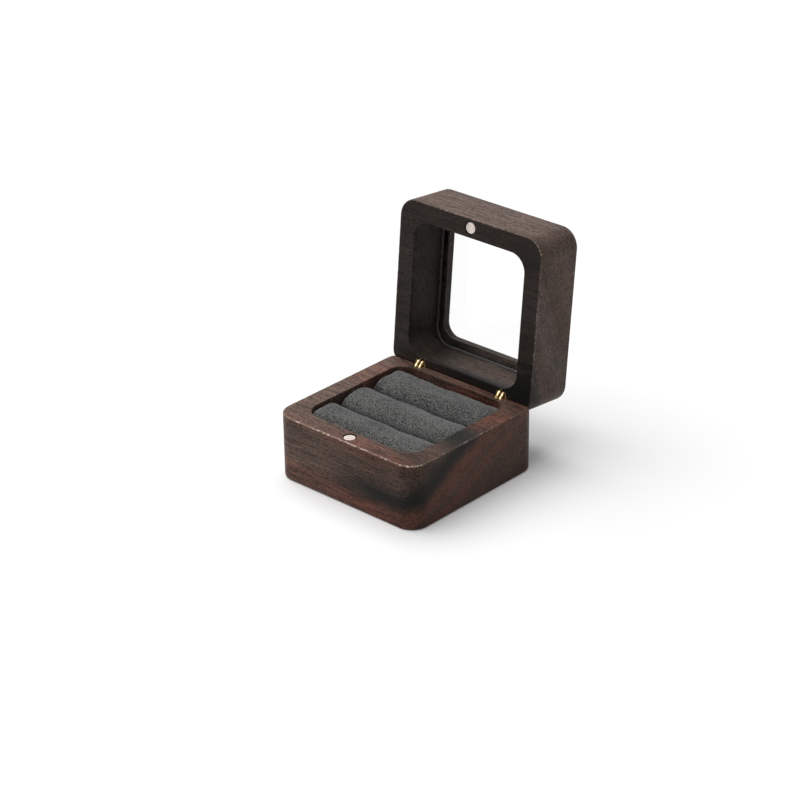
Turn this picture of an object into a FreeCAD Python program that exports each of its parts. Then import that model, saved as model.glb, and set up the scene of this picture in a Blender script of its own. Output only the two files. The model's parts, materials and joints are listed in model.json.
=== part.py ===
"""Square hardwood ring box with a hinged lid, a glass window and a three-roll velvet cushion.

Units are millimetres. +Z is up, the front faces -Y and +X is to the right. The origin is the centre
of the base's underside. Every lid piece is drawn closed and is then turned open about the hinges,
because the box is stored standing open against its stop.
"""
import FreeCAD, Part
import math
import os

# ---- box outline ----
box_width = 60.0             # along X
box_depth = 60.0             # along Y
base_height = 22.9
lid_height = 18.4
corner_radius = 6.4          # upright outer corners
outer_edge_round = 0.8       # round along the base's foot and the lid's top
rim_ease = 0.3               # round along the outer edges of both rims
seam_gap = 0.04              # air between the closed rims

# ---- pockets ----
wall = 6.7                   # wood between the outside and the pockets
pocket_corner_radius = 6.0
pocket_floor = 4.0           # wood under the base's pocket
pocket_ease = 0.25           # round along the mouths of both pockets

# ---- window ----
window_width = 42.2
window_depth = 40.8
window_corner_radius = 5.0
window_lip = 3.0             # wood outside the pane
pane_thickness = 1.0
pane_clearance = 0.1
bead_width = 0.6             # glue bead between the pane and the pocket wall
bead_height = 0.5
bead_slope_share = 0.7       # how much of the bead's smaller side is sloped off
glue_line = 0.02             # air left for glue round a glued piece

# ---- cushion ----
roll_count = 3
board_thickness = 1.0
cushion_clearance = 0.1      # air between cushion and wood, and between two rolls
crest_below_rim = 1.2
shoulder_below_rim = 5.2     # where the straight side of a roll turns into its crown
roll_end_radius = 3.0
end_arc_lift = 0.05          # how far the end arcs stand above the crest, which they cross
cover_thickness = 0.6
core_clearance = 0.05

# ---- magnets ----
magnet_diameter = 4.0
magnet_thickness = 2.0
magnet_recess = 0.25         # how far a magnet lies below its rim
magnet_hole_clearance = 0.1  # on the radius
magnet_chamfer = 0.15

# ---- hinges ----
opening_angle = 95.5         # from closed to the stop, in degrees
turning_setback = 3.75       # from the back face to the line where the two back chamfers meet the rims
hinge_inset = 12.4           # from a side face to the middle of its hinge
barrel_diameter = 4.4
barrel_length = 6.0
barrel_end_chamfer = 0.3
pin_below_rim = 0.9
pin_diameter = 0.8
pin_bore_clearance = 0.05    # on the radius, where a link turns on its pin
pin_grip_clearance = 0.01    # on the radius, where a pin is pressed into its barrel
tongue_thickness = 0.6       # middle tongue of a barrel, between the two links
link_thickness = 1.0
link_half_width = 1.5
link_side_clearance = 0.05

# ---- places that follow from the sizes ----
back_face = box_depth / 2
front_face = -back_face
rim = base_height
lid_rim = rim + seam_gap
lid_top = lid_rim + lid_height
seam_middle = rim + seam_gap / 2
half_angle = opening_angle / 2
half_link = pin_below_rim + seam_gap / 2
turning_line = back_face - turning_setback
pin_setback = turning_setback + half_link * math.tan(math.radians(half_angle / 2))
pin_line = back_face - pin_setback
pocket_width = box_width - 2 * wall
pocket_depth = box_depth - 2 * wall
pane_seat = lid_top - window_lip
cushion_floor = pocket_floor + board_thickness
magnet_line = front_face + wall / 2
link_slot_inner = tongue_thickness / 2
link_slot_width = link_thickness + 2 * link_side_clearance
link_slot_depth = pin_below_rim + link_half_width + 2 * link_side_clearance
hinge_reach = box_width / 2 - hinge_inset
hinge_places = {"left": -hinge_reach, "right": hinge_reach}

up = FreeCAD.Vector(0, 0, 1)
across = FreeCAD.Vector(1, 0, 0)
backwards = FreeCAD.Vector(0, 1, 0)
beyond = 2 * max(box_width, box_depth, base_height + lid_height)   # reaches past the whole box


def rounded_prism(width, depth, radius, bottom, top, middle_y=0.0):
    """Upright prism on a rectangle with rounded corners."""
    low_x, high_x = -width / 2, width / 2
    low_y, high_y = middle_y - depth / 2, middle_y + depth / 2
    block = Part.makeBox(width, depth, top - bottom, FreeCAD.Vector(low_x, low_y, bottom))
    upright = [edge for edge in block.Edges if abs(edge.tangentAt(edge.FirstParameter).z) > 0.9]
    return block.makeFillet(radius, upright)


def level_edges(shape, height, inside=None):
    """Edges that lie at one height; inside=(width, depth) keeps those within a centred rectangle."""
    found = []
    for edge in shape.Edges:
        box = edge.BoundBox
        if abs(box.ZMin - height) > 1e-4 or abs(box.ZMax - height) > 1e-4:
            continue
        if inside is not None:
            reach_x = max(abs(box.XMin), abs(box.XMax))
            reach_y = max(abs(box.YMin), abs(box.YMax))
            if reach_x > inside[0] / 2 + 0.01 or reach_y > inside[1] / 2 + 0.01:
                continue
        found.append(edge)
    return found


def upright_cylinder(diameter, x, y, bottom, top):
    """Cylinder along Z."""
    return Part.makeCylinder(diameter / 2, top - bottom, FreeCAD.Vector(x, y, bottom), up)


def crosswise_cylinder(diameter, middle_x, y, z, length):
    """Cylinder along X, centred on middle_x."""
    start = FreeCAD.Vector(middle_x - length / 2, y, z)
    return Part.makeCylinder(diameter / 2, length, start, across)


def mirrored_over_seam(shape):
    """The same piece on the other side of the closed seam."""
    return shape.mirror(FreeCAD.Vector(0, 0, seam_middle), up)


def opened(shape):
    """A closed lid piece, turned back against the stop."""
    turned = shape.copy()
    turned.rotate(FreeCAD.Vector(0, turning_line, seam_middle), across, -opening_angle)
    return turned


def leaned(shape):
    """A closed link, leaned back on the base pin by half the opening."""
    turned = shape.copy()
    turned.rotate(FreeCAD.Vector(0, pin_line, seam_middle - half_link), across, -half_angle)
    return turned


def turned_back(block):
    """A tool drawn level on the seam, tipped back to lie on the base's back chamfer."""
    block.rotate(FreeCAD.Vector(0, turning_line, seam_middle), across, -half_angle)
    return block


def back_cut():
    """All that is cut away behind the base's rim: the wedge over the back chamfer, and its arris.

    The chamfer and its mirror image on the lid meet, seam_gap apart, when the lid is open. The arris
    between rim and chamfer is an arc round the base pin, so that it rolls on the lid's arris.
    """
    corner = FreeCAD.Vector(-beyond / 2, turning_line - beyond / 2, seam_middle - seam_gap / 2)
    wedge = turned_back(Part.makeBox(beyond, beyond, beyond, corner))
    pin = FreeCAD.Vector(-beyond / 2, pin_line, seam_middle - half_link)
    reach = 2 * pin_below_rim
    lean = math.radians(half_angle)
    straight_up = pin + up * reach
    middle_reach = reach / math.cos(lean / 2)
    between = pin + FreeCAD.Vector(0, math.sin(lean / 2), math.cos(lean / 2)) * middle_reach
    leaned_back = pin + FreeCAD.Vector(0, math.sin(lean), math.cos(lean)) * reach
    fan = Part.Face(Part.makePolygon([pin, straight_up, between, leaned_back, pin]))
    sector = fan.extrude(across * beyond)
    arris = sector.cut(Part.makeCylinder(pin_below_rim, beyond, pin, across))
    return wedge.fuse(arris)


def with_barrel_holes(wood, rim_height, direction):
    """Wood with its two blind holes for the hinge barrels; direction is -1 down, +1 up."""
    depth = barrel_length + glue_line
    ends = sorted([rim_height - direction * rim_ease, rim_height + direction * depth])
    for x in hinge_places.values():
        hole = upright_cylinder(barrel_diameter + 2 * glue_line, x, pin_line, ends[0], ends[1])
        wood = wood.cut(hole)
    return wood


def with_magnet_hole(wood, rim_height, direction):
    """Wood with the blind hole for its magnet; direction is -1 down, +1 up."""
    depth = magnet_thickness + magnet_recess
    ends = sorted([rim_height - direction * rim_ease, rim_height + direction * depth])
    diameter = magnet_diameter + 2 * magnet_hole_clearance
    return wood.cut(upright_cylinder(diameter, 0, magnet_line, ends[0], ends[1]))


def base_body():
    """Lower block with its pocket, back chamfer, barrel holes and magnet hole."""
    wood = rounded_prism(box_width, box_depth, corner_radius, 0, rim)
    wood = wood.makeFillet(outer_edge_round, level_edges(wood, 0))
    wood = wood.makeFillet(rim_ease, level_edges(wood, rim))
    wood = wood.cut(back_cut())
    wood = wood.cut(rounded_prism(pocket_width, pocket_depth, pocket_corner_radius, pocket_floor, rim))
    wood = wood.makeFillet(pocket_ease, level_edges(wood, rim, (pocket_width, pocket_depth)))
    wood = with_barrel_holes(wood, rim, -1)
    return with_magnet_hole(wood, rim, -1)


def lid_frame():
    """Upper block, hollowed from its rim, with a window cut through its top."""
    wood = rounded_prism(box_width, box_depth, corner_radius, lid_rim, lid_top)
    wood = wood.makeFillet(outer_edge_round, level_edges(wood, lid_top))
    wood = wood.makeFillet(rim_ease, level_edges(wood, lid_rim))
    wood = wood.cut(mirrored_over_seam(back_cut()))
    wood = wood.cut(rounded_prism(pocket_width, pocket_depth, pocket_corner_radius, lid_rim, pane_seat))
    wood = wood.makeFillet(pocket_ease, level_edges(wood, lid_rim, (pocket_width, pocket_depth)))
    wood = wood.cut(rounded_prism(window_width, window_depth, window_corner_radius, pane_seat, lid_top))
    wood = wood.makeFillet(rim_ease, level_edges(wood, lid_top, (window_width, window_depth)))
    wood = with_barrel_holes(wood, lid_rim, 1)
    return with_magnet_hole(wood, lid_rim, 1)


def window_glass():
    """Pane laid in from inside, against the lip."""
    width = pocket_width - 2 * pane_clearance
    depth = pocket_depth - 2 * pane_clearance
    radius = pocket_corner_radius - pane_clearance
    return rounded_prism(width, depth, radius, pane_seat - pane_thickness, pane_seat)


def glass_bead():
    """Clear glue bead in the corner between the pane and the pocket wall, sloping to the pane."""
    top = pane_seat - pane_thickness
    width = pocket_width - 2 * glue_line
    depth = pocket_depth - 2 * glue_line
    radius = pocket_corner_radius - glue_line
    ring = rounded_prism(width, depth, radius, top - bead_height, top)
    hole_width = width - 2 * bead_width
    hole_depth = depth - 2 * bead_width
    ring = ring.cut(rounded_prism(hole_width, hole_depth, radius - bead_width, top - bead_height, top))
    slope = min(bead_width, bead_height) * bead_slope_share
    return ring.makeChamfer(slope, level_edges(ring, top - bead_height, (hole_width, hole_depth)))


def magnet(rim_height, direction):
    """Disc magnet at the bottom of its hole; direction is -1 down, +1 up."""
    outer_face = rim_height + direction * magnet_recess
    inner_face = outer_face + direction * magnet_thickness
    ends = sorted([outer_face, inner_face])
    disc = upright_cylinder(magnet_diameter, 0, magnet_line, ends[0], ends[1])
    return disc.makeChamfer(magnet_chamfer, level_edges(disc, ends[0]) + level_edges(disc, ends[1]))


def cushion_board():
    """Stiff card under the rolls."""
    width = pocket_width - 2 * cushion_clearance
    depth = pocket_depth - 2 * cushion_clearance
    return rounded_prism(width, depth, pocket_corner_radius - cushion_clearance, pocket_floor, cushion_floor)


def end_cut(width, top, radius):
    """What rounding over both ends of a roll takes away: the corner block outside each arc."""
    level = top - radius + end_arc_lift
    cut_away = []
    for side in (-1, 1):
        arc_x = side * (width / 2 - radius)
        corner = FreeCAD.Vector(min(arc_x, arc_x + side * beyond), -beyond / 2, level)
        block = Part.makeBox(beyond, beyond, beyond, corner)
        arc_end = FreeCAD.Vector(arc_x, -beyond / 2, level)
        cut_away.append(block.cut(Part.makeCylinder(radius, beyond, arc_end, backwards)))
    return Part.makeCompound(cut_away)


def roll_solid(index, inset):
    """One cushion roll, drawn in from its outer surface by inset on its top, sides and ends.

    The crown is half an ellipse across the roll. The ends are rounded over, and the rolls next to the
    pocket's corners follow those corners.
    """
    pitch = (pocket_depth - 2 * cushion_clearance) / roll_count
    middle_y = (index - (roll_count - 1) / 2) * pitch
    half_width = pitch / 2 - cushion_clearance / 2 - inset
    shoulder = rim - shoulder_below_rim
    rise = shoulder_below_rim - crest_below_rim - inset
    left_side = FreeCAD.Vector(-beyond / 2, middle_y - half_width, shoulder)
    right_side = FreeCAD.Vector(-beyond / 2, middle_y + half_width, shoulder)
    left_foot = FreeCAD.Vector(-beyond / 2, middle_y - half_width, cushion_floor)
    right_foot = FreeCAD.Vector(-beyond / 2, middle_y + half_width, cushion_floor)
    centre = FreeCAD.Vector(-beyond / 2, middle_y, shoulder)
    crest = centre + up * rise
    if half_width >= rise:
        crown = Part.Ellipse(right_side, crest, centre)
        arc = Part.Arc(crown, 0, math.pi).toShape()
    else:
        crown = Part.Ellipse(crest, left_side, centre)
        arc = Part.Arc(crown, -math.pi / 2, math.pi / 2).toShape()
    sides = [Part.makeLine(left_side, left_foot), Part.makeLine(left_foot, right_foot),
             Part.makeLine(right_foot, right_side)]
    outline = Part.Wire(Part.__sortEdges__([arc] + sides))
    roll = Part.Face(outline).extrude(across * beyond)
    width = pocket_width - 2 * cushion_clearance - 2 * inset
    depth = pocket_depth - 2 * cushion_clearance - 2 * inset
    top = rim - crest_below_rim - inset
    corner_round = pocket_corner_radius - cushion_clearance - inset
    room = rounded_prism(width, depth, corner_round, cushion_floor, top)
    return roll.common(room).cut(end_cut(width, top, roll_end_radius - inset))


def roll_core(index):
    """Foam body of a roll."""
    return roll_solid(index, cover_thickness + core_clearance)


def roll_cover(index):
    """Velvet over the top, sides and ends of a roll, open where it is glued down to the card."""
    return roll_solid(index, 0).cut(roll_solid(index, cover_thickness))


def base_barrel(x):
    """Brass barrel with two link slots and a crosswise hole for its pin, bevelled like the wood."""
    barrel = upright_cylinder(barrel_diameter, x, pin_line, rim - barrel_length, rim)
    barrel = barrel.makeChamfer(barrel_end_chamfer, level_edges(barrel, rim - barrel_length))
    for side in (-1, 1):
        slot_edge = x + side * (link_slot_inner + link_slot_width / 2) - link_slot_width / 2
        corner = FreeCAD.Vector(slot_edge, pin_line - barrel_diameter, rim - link_slot_depth)
        barrel = barrel.cut(Part.makeBox(link_slot_width, 2 * barrel_diameter, link_slot_depth, corner))
    barrel = barrel.cut(back_cut())
    pin_hole = pin_diameter + 2 * pin_grip_clearance
    return barrel.cut(crosswise_cylinder(pin_hole, x, pin_line, rim - pin_below_rim, barrel_diameter))


def base_pin(x):
    """Pin through the base barrel; its ends stay inside the barrel's round."""
    length = 2 * math.sqrt((barrel_diameter / 2) ** 2 - (pin_diameter / 2) ** 2)
    return crosswise_cylinder(pin_diameter, x, pin_line, rim - pin_below_rim, length)


def link(x, side):
    """Flat link with round ends and two bores, trimmed to the barrels' round; side is -1 or +1."""
    inner = x + side * (link_slot_inner + link_side_clearance)
    low = min(inner, inner + side * link_thickness)
    base_eye = FreeCAD.Vector(low, pin_line, seam_middle - half_link)
    lid_eye = FreeCAD.Vector(low, pin_line, seam_middle + half_link)
    plate = Part.makeCylinder(link_half_width, link_thickness, base_eye, across)
    plate = plate.fuse(Part.makeCylinder(link_half_width, link_thickness, lid_eye, across))
    web_corner = FreeCAD.Vector(low, pin_line - link_half_width, seam_middle - half_link)
    plate = plate.fuse(Part.makeBox(link_thickness, 2 * link_half_width, 2 * half_link, web_corner))
    trim = upright_cylinder(barrel_diameter - 2 * link_side_clearance, x, pin_line, 0, lid_top)
    plate = plate.common(trim)
    bore = pin_diameter + 2 * pin_bore_clearance
    for eye in (base_eye, lid_eye):
        plate = plate.cut(crosswise_cylinder(bore, x, eye.y, eye.z, 2 * barrel_diameter))
    return plate.removeSplitter()


def pieces():
    """Every piece by node name, as the box stands open."""
    made = {
        "base_body": base_body(),
        "cushion_board": cushion_board(),
        "base_magnet": magnet(rim, -1),
        "lid_frame": opened(lid_frame()),
        "window_glass": opened(window_glass()),
        "glass_bead": opened(glass_bead()),
        "lid_magnet": opened(magnet(lid_rim, 1)),
    }
    for index, place in enumerate(("front", "middle", "rear")):
        made[place + "_roll_core"] = roll_core(index)
        made[place + "_roll_cover"] = roll_cover(index)
    for hand, x in hinge_places.items():
        outward = math.copysign(1, x)
        made[hand + "_base_barrel"] = base_barrel(x)
        made[hand + "_base_pin"] = base_pin(x)
        made[hand + "_lid_barrel"] = opened(mirrored_over_seam(base_barrel(x)))
        made[hand + "_lid_pin"] = opened(mirrored_over_seam(base_pin(x)))
        made[hand + "_outer_link"] = leaned(link(x, outward))
        made[hand + "_inner_link"] = leaned(link(x, -outward))
    return made


def main():
    """Write one STEP file per node."""
    os.makedirs("parts", exist_ok=True)
    for name, shape in pieces().items():
        shape.exportStep("parts/" + name + ".step")
        print(name, "solids", len(shape.Solids), "valid", shape.isValid(), "volume", round(shape.Volume, 2))
    lid_pin_y = pin_line + 2 * half_link * math.sin(math.radians(half_angle))
    lid_pin_z = seam_middle - half_link + 2 * half_link * math.cos(math.radians(half_angle))
    print("base pin axis y", round(pin_line, 5), "z", round(seam_middle - half_link, 5))
    print("lid pin axis y", round(lid_pin_y, 5), "z", round(lid_pin_z, 5))


main()
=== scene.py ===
"""Looks of a small hardwood ring box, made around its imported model.

The two wood blocks and the three cushion rolls are surfaces worked out with numpy. The hinges, the
magnets, the pane, its glue bead and the card keep the frame's shapes and get their finishes here.
Lengths are in metres, and the patterns of the finishes are worked out in millimetres. Colours are
linear values, and those that a user would change are made from 0 to 255 screen values.
"""
import json
import math

import bpy
import numpy as np
from mathutils import Matrix, Vector


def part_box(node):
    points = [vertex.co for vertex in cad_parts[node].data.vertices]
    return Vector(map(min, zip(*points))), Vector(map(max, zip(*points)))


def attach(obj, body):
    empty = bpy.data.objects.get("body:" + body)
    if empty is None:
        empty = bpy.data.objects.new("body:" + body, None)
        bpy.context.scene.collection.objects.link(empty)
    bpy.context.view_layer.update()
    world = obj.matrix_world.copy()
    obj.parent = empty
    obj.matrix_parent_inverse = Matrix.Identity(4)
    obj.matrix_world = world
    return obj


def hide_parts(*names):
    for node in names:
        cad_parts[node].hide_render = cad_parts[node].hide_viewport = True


bl_info = {
    "name": "Ring Box",
    "version": (1, 0, 0),
    "blender": (4, 5, 0),
    "location": "View3D > Sidebar > Ring Box",
    "description": "Makes the wood, cushion, glass, metal and studio of a hinged ring box",
    "category": "Add Mesh",
}

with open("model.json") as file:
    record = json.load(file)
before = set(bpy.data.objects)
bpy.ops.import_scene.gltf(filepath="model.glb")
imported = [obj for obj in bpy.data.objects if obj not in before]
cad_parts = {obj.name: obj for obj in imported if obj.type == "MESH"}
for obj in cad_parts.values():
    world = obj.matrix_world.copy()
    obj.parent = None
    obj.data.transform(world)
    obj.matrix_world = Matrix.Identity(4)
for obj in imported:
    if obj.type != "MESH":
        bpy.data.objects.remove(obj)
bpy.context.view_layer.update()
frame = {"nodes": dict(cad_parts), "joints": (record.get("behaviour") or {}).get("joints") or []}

MM = 0.001

# ---- places read from the frame ----
BASE_LOW, BASE_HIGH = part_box("base_body")
BOARD_LOW, BOARD_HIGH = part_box("cushion_board")
MAGNET_LOW, MAGNET_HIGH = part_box("base_magnet")
BARREL_LOW, BARREL_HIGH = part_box("left_base_barrel")
JOINTS = {joint["name"]: joint for joint in frame["joints"]}
BASE_PIN = Vector(JOINTS["left_link_turn"]["pos_m"])
LID_PIN = Vector(JOINTS["lid_turn"]["pos_m"])
HALF_OPENING = math.radians(JOINTS["lid_turn"]["range_deg"][1])
RIM = BASE_HIGH.z
PIN_BELOW_RIM = RIM - BASE_PIN.z
HALF_WIDTH = BASE_HIGH.x
HALF_DEPTH = BASE_HIGH.y

# ---- fixed sizes ----
BOARD_CORNER = 5.9 * MM      # radius of the cushion board's corners
GLUE_LINE = 0.02 * MM        # air round a barrel in its hole
FLAT_INSET = 0.4 * MM        # how far a block's flat end starts inside its round
FLOOR_DROP = 0.02 * MM       # how far the floor lies under the box
NICK_REACH = 1.1 * MM        # how far from an arris the nicks reach
LONG_NICK = 5 * MM           # wavelength of the broad nicks
SHORT_NICK = 1.6 * MM        # and of the small ones
SLOT_WAVE = 19 * MM          # wavelength of the slots' wander
CREST_WAVE = 16 * MM         # wavelength of the crests' unevenness
CORNER_ROOM = 0.6 * MM       # how near the pocket's corner a roll starts to turn down
TOP_SHARE = 0.35             # share of the crest's depth that a roll always leaves under the rim
END_RISE = 0.6               # share of its rise that a roll keeps at its ends
CORNER_RISE = 0.75           # and in the pocket's corners
SAW_DEPTH = 45.0             # millimetres of growth layers that a wood's colours are given over
SEAT_SHADE_REACH = 3.2            # millimetres over which painted shade darkens the corner of the pane's seat
CLOTH_SCALE = 10.0           # the cloth is worked out at this many times its size
SHARP_OVER = math.radians(35)    # edges of the blocks that turn more than this are shaded sharp

# ---- counts ----
COUNTS = (96, 36)            # points on each straight side and on each corner of an outline
SIDE_STEPS = 24              # rows up a block's side, across its rim and down its pocket's wall
RIM_ROWS = 22
WALL_STEPS = 8
HOLE_POINTS = 48             # points round a drilled hole
ROLL_POINTS = (181, 91)      # along and across a roll before it is remeshed
SKIRT_STEPS = 9              # rows down from a roll's edge to the board
CLOTH_FRAMES = 20

# ---- linear colours of the pores, of the darkened inner walls, and of painted shade in the holes, the pane's seat and the slots ----
PORE_TONE = (0.012, 0.010, 0.008, 1)
INNER_DARK_TONE = (0.0037, 0.0038, 0.0033, 1)
HOLE_SHADE_TONE = (0.003, 0.0025, 0.002, 1)
SEAT_SHADE_TONE = (0.004, 0.004, 0.0035, 1)
SLOT_SHADE_TONE = (0.004, 0.004, 0.004, 1)

# ---- shares of a round's radius, step by step: from none to all of it, and from all to none ----
QUARTER = np.linspace(0, np.pi / 2, 6)[:, None]
GROWING = 1 - np.cos(QUARTER)
FADING = 1 - np.sin(QUARTER)


# ---- sizes and colours that a user would change ----

def length(name, description, millimetres):
    """A length property, with its default given in millimetres."""
    return bpy.props.FloatProperty(name=name, description=description, default=millimetres * MM,
                                   min=0.0, unit="LENGTH", precision=5)


def share(name, description, value, most=1.0):
    """A plain number property."""
    return bpy.props.FloatProperty(name=name, description=description, default=value, min=0.0,
                                   max=most, subtype="FACTOR")


def linear(red, green, blue):
    """Screen values from 0 to 255 as a linear colour: below 0.04045 the value over 12.92, and above
    it the 2.4th power of (value + 0.055) / 1.055."""
    parts = [value / 255 for value in (red, green, blue)]
    curved = [p / 12.92 if p <= 0.04045 else ((p + 0.055) / 1.055) ** 2.4 for p in parts]
    return (*curved, 1.0)


def colour(name, description, red, green, blue):
    """A colour property, with its default given as screen values."""
    return bpy.props.FloatVectorProperty(name=name, description=description, subtype="COLOR", size=4,
                                         min=0.0, max=1.0, default=linear(red, green, blue))


class BlockSizes(bpy.types.PropertyGroup):
    """Rounds and walls of the two wood blocks."""
    corner: length("Corner radius", "Upright outer corners", 6.4)
    foot_round: length("Foot round", "Round along the base's foot and the lid's top", 0.8)
    rim_round: length("Rim round", "Round along the outer edge of both rims", 0.35)
    mouth_round: length("Mouth round", "Round along the mouths of the pockets", 0.3)
    pocket_corner: length("Pocket corner radius", "Upright corners of both pockets", 6.0)
    board_gap: length("Board gap", "Air between the cushion board and the pocket wall", 0.1)
    window_width: length("Window width", "Opening in the lid's top, along X", 42.2)
    window_depth: length("Window depth", "Opening in the lid's top, along Y", 40.8)
    window_corner: length("Window corner radius", "Corners of the window", 5.0)
    window_lip: length("Window lip", "Wood outside the pane", 3.0)
    lid_height: length("Lid height", "Height of the closed lid", 18.4)
    seam_gap: length("Seam gap", "Air between the closed rims", 0.04)
    hole_gap: length("Hole gap", "Air round a magnet in its hole", 0.22)
    edge_wear: length("Edge wear depth", "How deep the worst nicks along the edges are", 0.07)


class RollSizes(bpy.types.PropertyGroup):
    """Form of the cushion rolls."""
    count: bpy.props.IntProperty(name="Rolls", description="How many rolls lie side by side", default=3)
    crest: length("Crest depth", "How far a roll's crest lies below the rim", 0.6)
    shoulder: length("Shoulder depth", "Where a roll's side turns into its crown, below the rim", 7.0)
    end_round: length("End round", "Length over which a roll's ends turn down", 2.2)
    slot_gap: length("Slot gap", "Air between two rolls", 0.24)
    wander: length("Slot wander", "How far the slots stray from a straight line", 0.22)
    unevenness: length("Unevenness", "How much the crests rise and fall", 0.22)
    cell: length("Cell", "Size of the cloth's cells", 0.5)
    stuffing: bpy.props.FloatProperty(name="Stuffing", description="Pressure of the foam on the velvet",
                                      default=4.0, min=0.0)
    swell_cap: length("Swell cap", "How far the velvet may swell from its cut shape", 0.6)


class WoodFinish(bpy.types.PropertyGroup):
    """Colours of the oiled hardwood."""
    brown: colour("Brown", "Common ground of the wood", 74, 59, 51)
    light: colour("Light brown", "Pale layers", 90, 74, 66)
    red: colour("Red", "Reddish layers", 98, 63, 52)
    ash: colour("Ash brown", "Greyer brown of the lid", 86, 76, 70)
    dark: colour("Dark", "Greenish black layers", 25, 25, 22)
    worn: colour("Worn", "Bare wood along the edges", 226, 206, 190)
    pores: share("Pores", "Strength of the dark pores", 0.45)


class SoftFinish(bpy.types.PropertyGroup):
    """Colours of the velvet and the card."""
    nap: colour("Nap", "Velvet seen on the nap", 112, 112, 110)
    ground: colour("Ground", "Velvet seen between the fibres", 20, 20, 21)
    card: colour("Card", "Grey board under the rolls", 88, 84, 78)


class MetalFinish(bpy.types.PropertyGroup):
    """Colours of the hinges and the magnets."""
    brass: colour("Brass", "Hinges", 198, 180, 142)
    tarnish: colour("Tarnish", "Dull brass in the hollows", 120, 84, 52)
    nickel: colour("Nickel", "Magnets", 214, 204, 198)
    edge_round: length("Edge round", "Round along the edges of the hinges", 0.44)


class StudioLook(bpy.types.PropertyGroup):
    """Floor, lamps and camera."""
    floor: colour("Floor", "Pale floor", 230, 230, 230)
    floor_glow: share("Floor glow", "Light that only camera and mirror rays see on the floor", 0.14)
    sky: share("Sky", "Level of the soft light from all round", 0.10)
    key: bpy.props.FloatProperty(name="Key", description="Strength of the soft sun", default=3.5)
    key_softness: bpy.props.FloatProperty(name="Key softness", description="Apparent size of the sun",
                                          default=math.radians(72), subtype="ANGLE")


GROUPS = {"block": BlockSizes, "rolls": RollSizes, "wood": WoodFinish, "soft": SoftFinish,
          "metal": MetalFinish, "studio": StudioLook}


def look(context, name):
    """One of the property groups kept on the scene."""
    return getattr(context.scene, "ring_box_" + name)


# ---- node trees ----

class Sheet:
    """Short words for writing a node tree."""

    def __init__(self, tree):
        self.tree = tree

    def fill(self, node, inputs):
        """Set a node's inputs, and link those that are given as sockets."""
        for key, value in inputs.items():
            if isinstance(value, bpy.types.NodeSocket):
                self.tree.links.new(value, node.inputs[key])
            else:
                node.inputs[key].default_value = value

    def add(self, kind, inputs=None, **settings):
        """Add a node, make its settings, and fill its inputs."""
        made = self.tree.nodes.new(kind)
        for key, value in settings.items():
            setattr(made, key, value)
        self.fill(made, inputs or {})
        return made

    def math(self, operation, *values, clamp=False):
        """A Math node's result."""
        inputs = dict(enumerate(values))
        return self.add("ShaderNodeMath", inputs, operation=operation, use_clamp=clamp).outputs[0]

    def plus(self, first, second, clamp=False):
        """A sum."""
        return self.math("ADD", first, second, clamp=clamp)

    def minus(self, first, second, clamp=False):
        """A difference."""
        return self.math("SUBTRACT", first, second, clamp=clamp)

    def times(self, first, second):
        """A product."""
        return self.math("MULTIPLY", first, second)

    def times_plus(self, first, second, third):
        """The product of the first two and then the third added."""
        return self.math("MULTIPLY_ADD", first, second, third)

    def most(self, first, second):
        """The greater one, where the first may be None."""
        return second if first is None else self.math("MAXIMUM", first, second)

    def sway(self, pattern, weight, base=0.0):
        """The base, moved by weight times how far a pattern from 0 to 1 is from its middle."""
        return self.times_plus(self.minus(pattern, 0.5), weight, base)

    def vector(self, operation, *values):
        """A Vector Math node's result."""
        made = self.add("ShaderNodeVectorMath", dict(enumerate(values)), operation=operation)
        return made.outputs["Value" if operation in ("LENGTH", "DOT_PRODUCT") else "Vector"]

    def noise(self, vector, scale=1.0, detail=2.0, roughness=0.5, distortion=0.0):
        """Noise from 0 to 1, where scale is features per unit of vector."""
        inputs = {"Vector": vector, "Scale": scale, "Detail": detail, "Roughness": roughness,
                  "Distortion": distortion}
        return self.add("ShaderNodeTexNoise", inputs).outputs["Fac"]

    def scaled(self, vector, x, y, z, turn=(0.0, 0.0, 0.0)):
        """The vector turned, and then stretched along each axis."""
        turned = self.add("ShaderNodeMapping", {"Vector": vector, "Rotation": turn})
        return self.vector("MULTIPLY", turned.outputs[0], (x, y, z))

    def smooth(self, value, low, high, start=0.0, end=1.0):
        """A smooth step from start to end as value goes from low to high."""
        inputs = {"Value": value, "From Min": low, "From Max": high, "To Min": start, "To Max": end}
        return self.add("ShaderNodeMapRange", inputs, interpolation_type="SMOOTHSTEP").outputs[0]

    def mix(self, share_of_second, first, second, blend="MIX"):
        """Two colours mixed."""
        inputs = {0: share_of_second, 6: first, 7: second}
        return self.add("ShaderNodeMix", inputs, data_type="RGBA", blend_type=blend).outputs[2]

    def join(self, x, y, z):
        """A vector of three parts."""
        return self.add("ShaderNodeCombineXYZ", {"X": x, "Y": y, "Z": z}).outputs[0]

    def split(self, vector):
        """The three parts of a vector."""
        return self.add("ShaderNodeSeparateXYZ", {"Vector": vector}).outputs


def start_group(name, defaults):
    """A new shader node group that takes a vector and these values, as (sheet, its inputs)."""
    tree = bpy.data.node_groups.new(name, "ShaderNodeTree")
    for title, default in {"Vector": (0, 0, 0), **defaults}.items():
        kind = "NodeSocketVector" if isinstance(default, tuple) else "NodeSocketFloat"
        socket = tree.interface.new_socket(name=title, in_out="INPUT", socket_type=kind)
        socket.default_value = default
    sheet = Sheet(tree)
    return sheet, sheet.add("NodeGroupInput").outputs


def end_group(sheet, results):
    """The group, with its results given out under their names."""
    for title in results:
        sheet.tree.interface.new_socket(name=title, in_out="OUTPUT", socket_type="NodeSocketFloat")
    sheet.add("NodeGroupOutput", results)
    return sheet.tree


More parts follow.
